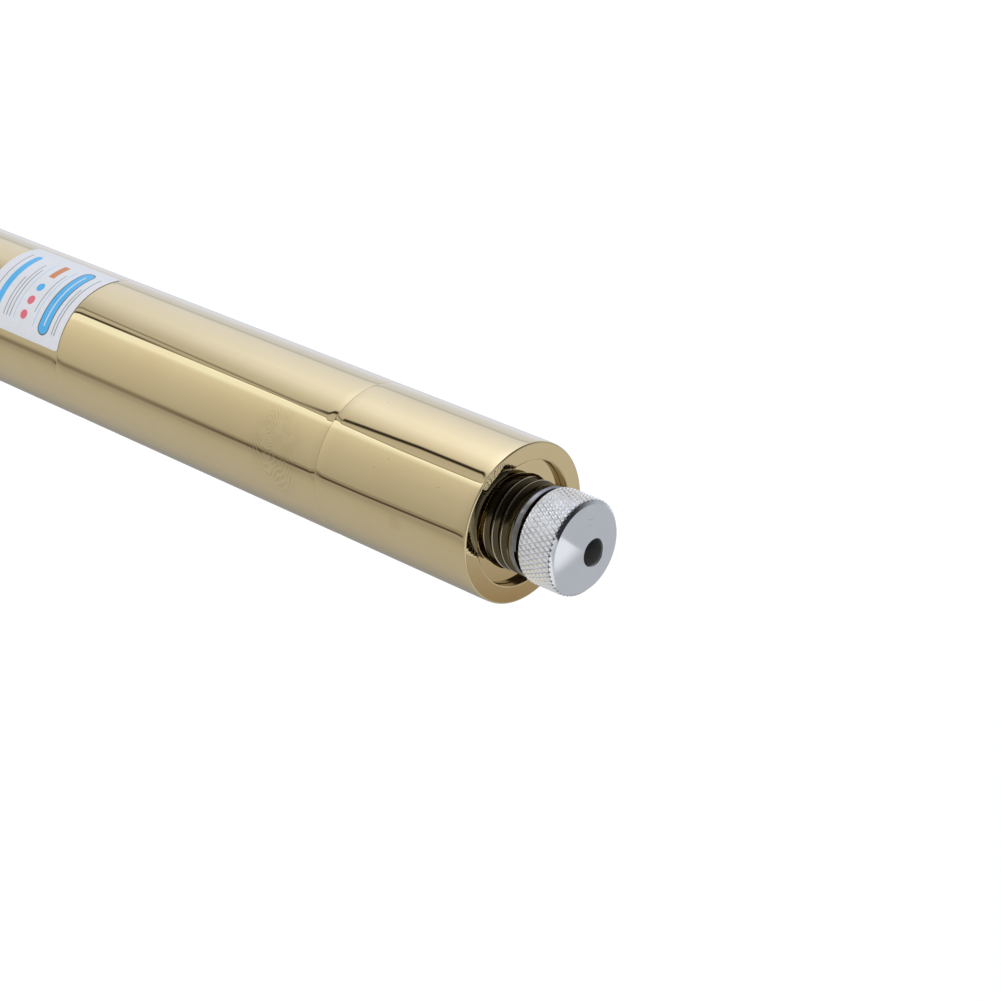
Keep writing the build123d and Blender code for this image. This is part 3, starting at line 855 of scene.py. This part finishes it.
class POINTER_OT_battery_tube(bpy.types.Operator):
    """Builds the section that holds the cells, with its threaded tail"""

    bl_idname = "pointer.battery_tube"
    bl_label = "Cell section"

    def execute(self, context):
        shape = context.scene.pointer_shape
        joint = shape.joint_radius
        root = joint - shape.tail_thread_depth
        tail_end, _ = ends("battery_tube")
        thread_top = tail_seam - 2.1 * MM
        run_out = 0.02 * MM
        rows, per_pitch = thread_rows(
            COARSE_PROFILE,
            root,
            depth=shape.tail_thread_depth,
            pitch=shape.tail_pitch,
            bottom=tail_end + run_out,
            top=thread_top - run_out,
            start=tail_end + 0.62 * MM,
            turns=2.4,
            columns=shape.columns,
            lead=0.08,
        )
        outline = [(shape.cell_bore, tail_end), (root, tail_end)]
        thread = (len(outline), len(outline) + len(rows) - 1, per_pitch)
        outline += [
            *rows,
            (root, thread_top),
            (joint, thread_top),
            *ring_groove(shape, tail_seam - 1.6 * MM),
            (joint, tail_seam),
            *polished_wall(shape, tail_seam, label_seam, shape.seam_round, shape.seam_round),
            (joint, label_seam),
            *ring_groove(shape, label_seam + 0.5 * MM),
            (joint, label_seam + SPIGOT_LENGTH),
            (shape.cell_bore, label_seam + SPIGOT_LENGTH),
        ]

        def choose(radius, height):
            return 1 if height < tail_seam + HAIR else 0

        finishes = [finish_of(gold_plate), finish_of(gold_turned)]
        tube = turned("battery_tube_shell", outline, shape.columns, finishes, choose, thread)
        stand_for(tube, "pointer_body", "gold_plate", "battery_tube")
        return {"FINISHED"}


class POINTER_OT_tail_cap(bpy.types.Operator):
    """Builds the tail cap with its recess, and the dished button in it"""

    bl_idname = "pointer.tail_cap"
    bl_label = "Tail cap and button"

    def execute(self, context):
        shape = context.scene.pointer_shape
        board_low, _ = ends("switch_board")
        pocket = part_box("switch_board")[1].x + PLAY
        joint_low = tail_seam - 7.3 * MM
        recess, recess_floor = 8.0 * MM, 3.0 * MM
        hole, switch_bore, web_top = 5.0 * MM, 7.5 * MM, 4.5 * MM
        outline = [
            (hole + 0.05 * MM, recess_floor),
            (recess - 0.1 * MM, recess_floor),
            (recess, recess_floor - 0.1 * MM),
            (recess, 0.25 * MM),
            (recess + 0.2 * MM, 0.04 * MM),
            (recess + 0.25 * MM, 0.0),
            *polished_wall(shape, 0.0, tail_seam, shape.rim_round, shape.seam_round),
            (joint_socket(shape), tail_seam),
            (joint_socket(shape), joint_low),
            (pocket, joint_low),
            (pocket, board_low),
            (switch_bore, board_low),
            (switch_bore, web_top),
            (hole, web_top),
            (hole, recess_floor + 0.05 * MM),
        ]

        def choose(radius, height):
            return 1 if radius < 10.1 * MM and height > 3.5 * MM else 0

        finishes = [finish_of(gold_plate), finish_of(gold_turned)]
        cap = turned("tail_cap_shell", outline, shape.columns, finishes, choose)
        stand_for(cap, "tail_cap", "gold_plate", "tail_cap")

        low, high = ends("tail_button")
        stem, flange = 4.92 * MM, 6.5 * MM
        flange_low = high - 1.0 * MM
        corner = 0.8 * MM
        dish_depth, dish_edge = 0.12 * MM, 0.78
        edge = []
        for degrees in range(0, 91, 10):
            angle = math.radians(degrees)
            edge.append((stem - corner + corner * math.sin(angle), low + corner - corner * math.cos(angle)))
        dish = []
        for share in (0.0, 0.2, 0.4, 0.6, 0.72, dish_edge):
            dish.append((stem * share, low + dish_depth * (1 - (share / dish_edge) ** 2)))
        outline = [*dish, *edge, (stem, flange_low), (flange, flange_low), (flange, high), (0.0, high)]
        button = turned("tail_button_dish", outline, shape.columns, [finish_of(gold_plate)])
        stand_for(button, "button", "gold_plate", "tail_button")
        return {"FINISHED"}


def knurl_height(column, row):
    """Height of the knurl from 0 in its deep grooves to 1 on its ridges, which shallow grooves cross."""
    along, across = (column + row) / 2, (column - row) / 2
    deep = 1 - 2 * abs(across - round(across))
    shallow = 1 - 2 * abs(along - round(along))
    return min(1.0, deep * 1.35, 0.16 + shallow * 1.15)


def knurl_rows(shape, columns, divisions, shoulder, length):
    """Rows of the diamond knurl upwards from its shoulder, cut down to the bevel's radius at both ends."""
    groove = shape.knurl_radius - shape.knurl_depth
    bevel_radius = shape.knurl_radius - shape.knurl_depth / 2
    steps = shape.knurl_rows * divisions
    rows = []
    for step in range(steps + 1):
        row = []
        for column in range(columns):
            radius = groove + shape.knurl_depth * knurl_height(column / divisions, step / divisions)
            height = shoulder + length * step / steps
            if step in (0, steps):
                radius = min(radius, bevel_radius)
                height += (bevel_radius - radius) * (1 if step else -1)
            row.append((radius, height))
        rows.append(row)
    return rows


def collar_rows(columns, radius, low):
    """Rows of the crowned collar under the knurl; its upper edge is lower from a small notch on."""
    full_height = front_face + 4.5 * MM
    notch_angle, notch_run, notch_depth = -38, 132, 0.38 * MM
    edge, crown = 0.05 * MM, 0.1 * MM
    tops = []
    for column in range(columns):
        past_notch = (notch_angle - side_angle(column, columns)) / notch_run
        dip = notch_depth * (1 - min(1.0, past_notch)) if past_notch > 0 else 0.0
        tops.append(full_height - dip)
    rows = [(radius - crown - edge, low)]
    foot = low + edge
    steps = 8
    for step in range(steps + 1):
        share = step / steps
        swell = radius - crown * (2 * share - 1) ** 2
        rows.append([(swell, foot + (top - edge - foot) * share) for top in tops])
    rows.append([(radius - crown - edge, top) for top in tops])
    return rows, [top + edge for top in tops]


class POINTER_OT_pattern_cap(bpy.types.Operator):
    """Builds the silver cap: coned face, diamond knurl, relief and right-hand thread"""

    bl_idname = "pointer.pattern_cap"
    bl_label = "Pattern cap"

    def execute(self, context):
        shape = context.scene.pointer_shape
        low, _ = ends("pattern_cap_body")
        tip = front_face + 12.96 * MM
        shoulder = front_face + 5.36 * MM
        knurl_length = 5.6 * MM
        knurl_top = shoulder + knurl_length
        bevel = 0.5 * MM
        bevel_top = knurl_top + bevel
        face_radius = shape.knurl_radius - shape.knurl_depth / 2 - bevel
        seat = tip - 3.4 * MM
        aperture, bore = 1.93 * MM, 4.6 * MM
        relief, collar = 6.2 * MM, 6.75 * MM
        thread_top = front_face + 2.86 * MM
        run_out = 0.02 * MM
        root = shape.cap_thread_radius - shape.cap_thread_depth
        divisions = 4
        columns = 2 * shape.knurl_teeth * divisions
        rows, per_pitch = thread_rows(
            FINE_PROFILE,
            root,
            depth=shape.cap_thread_depth,
            pitch=shape.cap_pitch,
            bottom=low + run_out,
            top=thread_top - run_out,
            start=low + shape.cap_pitch / 2,
            turns=(thread_top - low) / shape.cap_pitch - 1,
            columns=columns,
            lead=0.035,
        )
        collar_wall, neck = collar_rows(columns, collar, thread_top)
        rim = 0.05 * MM
        doming = 0.3

        def face(radius):
            share = (radius - aperture) / (face_radius - aperture)
            return (radius, tip - (tip - bevel_top) * (share + doming * (share * share - share)))

        outline = [(bore, low), (root - 0.3 * MM, low)]
        thread = (len(outline), len(outline) + len(rows) - 1, per_pitch)
        outline += [
            *rows,
            (root, thread_top),
            *collar_wall,
            [(relief, height) for height in neck],
            (relief, shoulder - 0.06 * MM),
            (relief + 0.08 * MM, shoulder),
            *knurl_rows(shape, columns, divisions, shoulder, knurl_length),
            (face_radius + rim, bevel_top - rim),
            (face_radius + rim * 0.3, bevel_top - rim * 0.1),
            face(face_radius - rim),
            *[face(radius * MM) for radius in (6.0, 5.4, 4.8, 4.2, 3.6, 3.0, 2.5)],
            face(aperture + 0.2 * MM),
            face(aperture + 0.16 * MM),
            (aperture + 0.1 * MM, tip - 0.1 * MM),
            (aperture, tip - 0.28 * MM),
            (aperture, tip - 0.32 * MM),
            (aperture, seat),
            (bore, seat),
        ]

        def choose(radius, height):
            if height < shoulder + 2 * HAIR:
                return 2
            return 1 if height < knurl_top + 0.05 * MM or radius < aperture + 0.05 * MM else 0

        finishes = [finish_of(make) for make in (silver_turned, silver_knurl, dark_shank)]
        cap = turned("pattern_cap_knob", outline, columns, finishes, choose, thread)
        stand_for(cap, "pattern_cap", "silver_plate", "pattern_cap_body")
        return {"FINISHED"}


class POINTER_OT_label(bpy.types.Operator):
    """Builds the label film with its generic print"""

    bl_idname = "pointer.label"
    bl_label = "Label film"

    def execute(self, context):
        low, high = ends("label")
        length = high - low
        width = 17.5 * MM
        lower_edge = math.radians(-17.5)
        inner = body_radius + 0.004 * MM
        outer = body_radius + 0.09 * MM
        border_drop = 0.02 * MM
        corner = 0.5 * MM
        around, along = 72, 40
        vertices, faces = [], []

        def drawn_in(value, size):
            """How far the outline steps in at this place along an edge, to round its corners."""
            near = min(value, size - value)
            return corner - math.sqrt(max(corner**2 - (corner - near) ** 2, 0.0)) if near < corner else 0.0

        for layer in range(2):
            for i in range(around + 1):
                up = width * i / around
                inset = drawn_in(up, width)
                turn = lower_edge + up / body_radius
                for j in range(along + 1):
                    run = inset + (length - 2 * inset) * j / along
                    border = min(i, around - i, j, along - j) == 0
                    radius = outer - (border_drop if border else 0.0) if layer else inner
                    vertices.append((-radius * math.sin(turn), -radius * math.cos(turn), low + run))
        row = along + 1
        layer_size = (around + 1) * row
        for i in range(around):
            for j in range(along):
                corners = (i * row + j, i * row + j + 1, (i + 1) * row + j + 1, (i + 1) * row + j)
                faces.append(corners)
                faces.append(tuple(layer_size + index for index in reversed(corners)))
        border = [i * row for i in range(around)] + [around * row + j for j in range(along)]
        border += [i * row + along for i in range(around, 0, -1)] + list(range(along, 0, -1))
        for here, there in zip(border, border[1:] + border[:1]):
            faces.append((here, there, layer_size + there, layer_size + here))
        film = finish_mesh("label_film", vertices, faces, [finish_of(label_print)], 60.0)
        unwrapped = film.data.uv_layers.new(name="print")
        unit = LABEL_UNIT * MM
        for loop in film.data.loops:
            spot = film.data.vertices[loop.vertex_index].co
            up = (math.atan2(-spot.x, -spot.y) - lower_edge) * body_radius
            unwrapped.data[loop.index].uv = (up / unit, (high - spot.z) / unit)
        stand_for(film, "pointer_body", "label_film", "label")
        return {"FINISHED"}


class POINTER_OT_inner_parts(bpy.types.Operator):
    """Gives the cells, module, boards, springs, rings and lenses their finishes"""

    bl_idname = "pointer.inner_parts"
    bl_label = "Inner parts"

    def execute(self, context):
        makers = {make.__name__: make for make in INNER_FINISHES}
        for part in frame["record"]["subparts"]:
            if part["material_slot"] in makers:
                dress(part["node"], makers[part["material_slot"]])
        return {"FINISHED"}


# Studio


# Each card's direction in degrees, its level and how much cooler than white it is
CARDS = (
    (-180, 0.40, 0.4),
    (-168, 0.33, 0.2),
    (-150, 0.33, 0.2),
    (-128, 0.42, 0.2),
    (-114, 0.47, 0.2),
    (-96, 0.50, 0.2),
    (-84, 0.51, 0.15),
    (-72, 0.50, 0.0),
    (-64, 0.47, 0.0),
    (-57, 0.38, 0.0),
    (-53, 0.38, 0.0),
    (-49, 0.44, 0.0),
    (-40, 0.48, 0.0),
    (-24, 0.54, 0.0),
    (-8, 0.59, 0.0),
    (8, 0.68, 0.0),
    (20, 0.78, 0.1),
    (23, 0.62, 0.0),
    (36, 0.52, 0.0),
    (46, 0.66, 0.3),
    (56, 0.83, 0.6),
    (64, 0.96, 0.8),
    (76, 1.03, 0.9),
    (88, 0.98, 1.0),
    (108, 0.90, 1.1),
    (118, 0.84, 1.2),
    (122.5, 0.58, 1.2),
    (126, 0.75, 1.2),
    (136, 0.78, 1.3),
    (152, 0.86, 1.2),
    (168, 0.72, 0.9),
    (180, 0.40, 0.4),
)
WALL = (0.46, 0.48, 0.51, 1.0)
# The wall on the side away from the camera, by direction in degrees, with a warm dark gap in it
WALL_STOPS = (
    (0, WALL),
    (160, WALL),
    (173, (0.60, 0.60, 0.61, 1.0)),
    (178.3, (0.56, 0.56, 0.58, 1.0)),
    (180.8, (0.50, 0.47, 0.45, 1.0)),
    (181.7, (0.39, 0.37, 0.34, 1.0)),
    (182.4, (0.32, 0.255, 0.185, 1.0)),
    (188, (0.31, 0.26, 0.20, 1.0)),
    (198, WALL),
)


def colour_stops(sheet, share, stops):
    """A colour by a share from 0 to 1, from stops with a share and a colour each."""
    made = sheet.node("ShaderNodeValToRGB", {"Fac": share})
    elements = made.color_ramp.elements
    elements.remove(elements[1])
    for index, (position, tone) in enumerate(stops):
        element = elements.new(position) if index else elements[0]
        element.position = position
        element.color = tone
    return made.outputs["Color"]


def studio_cards(sheet, around, above):
    """The cards and flags that polished metal sees below the horizon, by direction in degrees.

    around is 0 towards the camera's side and grows towards the label; above
    is the height over the horizon.
    """
    stops = []
    for degrees, level, cool in CARDS:
        shade = (level * (1 - 0.07 * cool), level, level * (1 + 0.22 * cool), 1.0)
        stops.append(((degrees + 180) / 360, shade))
    tone = colour_stops(sheet, sheet.ramp(around, -180.0, 180.0, 0.0, 1.0), stops)
    near_floor = sheet.ease(above, -36.5, -30.0, 1.0, 0.0)

    def line(tone, middle, reach, depth, shade):
        """A line near the floor with soft borders; depth is how strong it is in its middle."""
        away = sheet.math("ABSOLUTE", around - middle)
        share = sheet.ease(away, reach * 0.25, reach, depth, 0.0)
        return sheet.mix(share * near_floor, tone, shade)

    # Further down the bright side fades and the near side grows brighter
    deeper = sheet.math("MINIMUM", -43.0 - above, 6.5)
    bright_side = sheet.ease(around, 38.0, 50.0) * sheet.ramp(around, 64.0, 112.0, 1.0, 0.0) * -0.04
    near_side = sheet.between(around, -44.0, 20.0, 3.0) * 0.015
    gain = 1.0 + deeper * (bright_side + near_side)
    tone = sheet.value("ShaderNodeVectorMath", {0: tone, "Scale": gain}, operation="SCALE")

    # A bright card ends in a thin line, which leans with the height
    thin = sheet.ramp(above, -40.5, -43.5, 27.0, 32.4) + sheet.ramp(above, -43.5, -49.4, 0.0, 2.6)
    glow = sheet.ease(around, 17.5, 25.0) * sheet.ease(around - thin, -0.35, 0.35, 1.0, 0.0)
    tone = sheet.mix(glow, tone, (1.04, 1.12, 1.22, 1.0))
    tone = line(tone, thin - 1.2, 1.6, 0.8, (1.22, 1.34, 1.50, 1.0))
    tone = line(tone, thin, 1.25, 0.65, (0.12, 0.10, 0.07, 1.0))
    tone = line(tone, thin + 0.6, 2.9, sheet.ease(above, -45.5, -48.2, 0.0, 0.95), (0.03, 0.02, 0.015, 1.0))

    # The broad dark band, which bends back above its end
    past_end = sheet.math("MAXIMUM", above + 37.6, 0.0)
    band = sheet.ramp(above, -43.1, -40.1, 35.1, 41.2) + sheet.ramp(above, -43.1, -49.4, 0.0, 10.0)
    band = band - past_end * past_end * 0.55
    band_depth = sheet.ramp(above, -42.8, -42.2, 0.52, 0.98) * sheet.ramp(past_end, 1.8, 4.2, 1.0, 0.0)
    tone = line(tone, band, sheet.ramp(above, -43.6, -41.8, 2.2, 3.7), band_depth, (0.02, 0.015, 0.012, 1.0))

    # A line on the other side, with a wider and softer one beside it
    low = sheet.ramp(above, -41.0, -38.4, -51.5, -48.6)
    tone = line(tone, low + 2.8, 4.0, 0.42, (0.16, 0.13, 0.09, 1.0))
    low_depth = sheet.ramp(above, -47.0, -42.5, 0.35, 0.9)
    return line(tone, low, sheet.ramp(above, -46.0, -41.5, 4.0, 2.3), low_depth, (0.05, 0.03, 0.032, 1.0))


def studio_walls(sheet, around, above, across, away, up):
    """The wall, cards and flag that polished metal sees over the horizon."""
    leaning = around + (37.2 - above) * 0.6
    stops = [(degrees / 360, tone) for degrees, tone in WALL_STOPS]
    behind = colour_stops(sheet, sheet.math("FRACT", leaning * (1 / 360)), stops)
    streak = sheet.ease(above, 30.0, 33.0) * sheet.ease(above, 46.0, 56.0, 1.0, 0.0)
    tone = sheet.mix(streak, WALL, behind)
    over_strip = above - (around * 0.43 + 71.0)
    strip = sheet.between(around, -122.0, -44.0, 8.0) * sheet.between(over_strip, -4.0, 4.0, 1.5)
    tone = sheet.mix(strip, tone, (0.80, 0.81, 0.83, 1.0))
    card_side = across + away * -0.27 + 0.07
    overhead = sheet.ease(card_side, -0.02, 0.03) * sheet.ease(up, 0.70, 0.86)
    overhead = overhead * sheet.ease(away, 0.26, 0.50, 1.0, 0.0)
    tone = sheet.mix(overhead, tone, (0.82, 0.84, 0.87, 1.0))

    # A dark flag from the camera's side to the label's, blurred and weak near the horizon
    flag_edge = sheet.math("MAXIMUM", above * 1.345 - 71.9, -49.0)
    far_edge = 128.0
    blur = sheet.ramp(above, -8.0, 12.0, 26.0, 4.0)
    flag = sheet.ease(around - flag_edge, -blur, blur)
    flag = flag * sheet.ease(around, far_edge - blur, far_edge + blur, 1.0, 0.0)
    flag = flag * sheet.ease(above, 54.0, 60.0, 1.0, 0.0) * sheet.ease(above, 5.0, 38.0, 0.15, 1.0)
    return sheet.mix(flag, tone, (0.025, 0.025, 0.03, 1.0))


def build_world(studio):
    """White for the camera, an even fill for matt surfaces and the studio's cards for polished ones."""
    world = bpy.data.worlds.new("studio")
    world.use_nodes = True
    bpy.context.scene.world = world
    sheet = Sheet(world.node_tree)
    across, away, up = sheet.split(sheet.value("ShaderNodeTexCoord", {}, "Generated"))
    around = sheet.math("DEGREES", sheet.turn(across, away))
    above = sheet.math("DEGREES", sheet.math("ARCSINE", up))
    lower = studio_cards(sheet, around, above)
    upper = studio_walls(sheet, around, above, across, away, up)
    polished = sheet.mix(sheet.ease(above, -30.0, -4.0), lower, upper)
    rays = sheet.node("ShaderNodeLightPath", {})
    fill = (studio.fill, studio.fill, studio.fill * 1.01, 1.0)
    tone = sheet.mix(rays.outputs["Is Glossy Ray"], fill, polished)
    tone = sheet.mix(rays.outputs["Is Camera Ray"], tone, WHITE)
    light = sheet.node("ShaderNodeBackground", {"Color": tone, "Strength": 1.0})
    sheet.node("ShaderNodeOutputWorld", {"Surface": light.outputs[0]})


def floor_material(studio):
    """Pale and matt, a little lighter for the camera, which sees through it from below."""
    material, sheet = new_material("pale_floor")
    camera_ray = sheet.value("ShaderNodeLightPath", {}, "Is Camera Ray")
    matt = sheet.node("ShaderNodeBsdfDiffuse", {"Color": (0.86, 0.86, 0.86, 1.0)})
    glow = sheet.node("ShaderNodeEmission", {"Color": WHITE, "Strength": camera_ray * studio.floor_lift})
    both = sheet.node("ShaderNodeAddShader", {0: matt.outputs[0], 1: glow.outputs[0]})
    under = sheet.value("ShaderNodeNewGeometry", {}, "Backfacing")
    clear = sheet.node("ShaderNodeBsdfTransparent", {})
    shaders = {0: under * camera_ray, 1: both.outputs[0], 2: clear.outputs[0]}
    either = sheet.node("ShaderNodeMixShader", shaders)
    sheet.node("ShaderNodeOutputMaterial", {"Surface": either.outputs[0]})
    return material


def build_floor(studio):
    """A pale disc that keeps the pointer's shadow; polished metal, and a camera below it, see through it."""
    shares = (0.25, 0.5, 0.75, 1.0)
    columns = 96
    height = -0.02 * MM
    vertices = [(0.0, 0.0, height)]
    faces = []
    for share in shares:
        radius = studio.floor_radius * share
        for column in range(columns):
            angle = math.tau * column / columns
            vertices.append((radius * math.cos(angle), radius * math.sin(angle), height))
    for column in range(columns):
        beside = (column + 1) % columns
        faces.append((0, 1 + column, 1 + beside))
        for ring in range(len(shares) - 1):
            here = 1 + ring * columns
            there = here + columns
            faces.append((here + column, there + column, there + beside, here + beside))
    floor = finish_mesh("pale_floor", vertices, faces, [floor_material(studio)])
    if floor.data.polygons[0].normal.z < 0:
        floor.data.flip_normals()
    floor.visible_glossy = False


def build_lamp(studio):
    """A soft lamp high on the label's side, which polished metal doesn't show."""
    lamp = bpy.data.lights.new("soft_key", "AREA")
    lamp.shape = "DISK"
    lamp.size = 0.5
    lamp.energy = studio.key_power
    key = bpy.data.objects.new("soft_key", lamp)
    key.location = (-0.35, -0.30, 0.75)
    aim = Vector((0, 0, 0.08))
    key.rotation_mode = "QUATERNION"
    key.rotation_quaternion = (aim - key.location).to_track_quat("-Z", "Y")
    key.visible_glossy = False
    bpy.context.scene.collection.objects.link(key)


def build_camera(studio):
    """The photograph's camera, from its place, the direction to its right and the one to its back."""
    data = bpy.data.cameras.new("photo_camera")
    data.lens = studio.lens
    data.sensor_width = 36.0
    data.clip_start = 0.01
    camera = bpy.data.objects.new("photo_camera", data)
    place = Vector((0.0, -0.2655, 0.3879))
    right = Vector((-0.38685, 0.56428, 0.7293)).normalized()
    back = Vector((0.00505, -0.7896, 0.6136)).normalized()
    up = back.cross(right).normalized()
    axes = Matrix((up.cross(back), up, back)).transposed().to_4x4()
    camera.matrix_world = Matrix.Translation(place) @ axes
    bpy.context.scene.collection.objects.link(camera)
    bpy.context.scene.camera = camera


class POINTER_OT_stage(bpy.types.Operator):
    """Builds the studio: world, pale floor, soft lamp and the photograph's camera"""

    bl_idname = "pointer.stage"
    bl_label = "Studio and camera"

    def execute(self, context):
        studio = context.scene.pointer_studio
        context.scene.view_settings.view_transform = "Standard"
        build_world(studio)
        build_floor(studio)
        build_lamp(studio)
        build_camera(studio)
        return {"FINISHED"}


class POINTER_PT_builder(bpy.types.Panel):
    """Lists the pointer's pieces in the sidebar"""

    bl_idname = "POINTER_PT_builder"
    bl_label = "Laser pointer"
    bl_space_type = "VIEW_3D"
    bl_region_type = "UI"
    bl_category = "Pointer"

    def draw(self, context):
        for operator in PIECES:
            self.layout.operator(operator.bl_idname, text=operator.bl_label)


PIECES = (
    POINTER_OT_stage,
    POINTER_OT_head_section,
    POINTER_OT_main_barrel,
    POINTER_OT_battery_tube,
    POINTER_OT_tail_cap,
    POINTER_OT_pattern_cap,
    POINTER_OT_label,
    POINTER_OT_inner_parts,
)
GROUPS = {"pointer_shape": PointerShape, "pointer_finish": PointerFinish, "pointer_studio": PointerStudio}


def register():
    for kind in (*GROUPS.values(), *PIECES, POINTER_PT_builder):
        bpy.utils.register_class(kind)
    for name, group in GROUPS.items():
        setattr(bpy.types.Scene, name, bpy.props.PointerProperty(type=group))


def unregister():
    for name in GROUPS:
        delattr(bpy.types.Scene, name)
    for kind in reversed((*GROUPS.values(), *PIECES, POINTER_PT_builder)):
        bpy.utils.unregister_class(kind)


def main():
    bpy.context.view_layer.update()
    register()
    bpy.ops.pointer.stage()
    bpy.ops.pointer.head_section()
    bpy.ops.pointer.main_barrel()
    bpy.ops.pointer.battery_tube()
    bpy.ops.pointer.tail_cap()
    bpy.ops.pointer.pattern_cap()
    bpy.ops.pointer.label()
    bpy.ops.pointer.inner_parts()


if __name__ == "__main__":
    main()
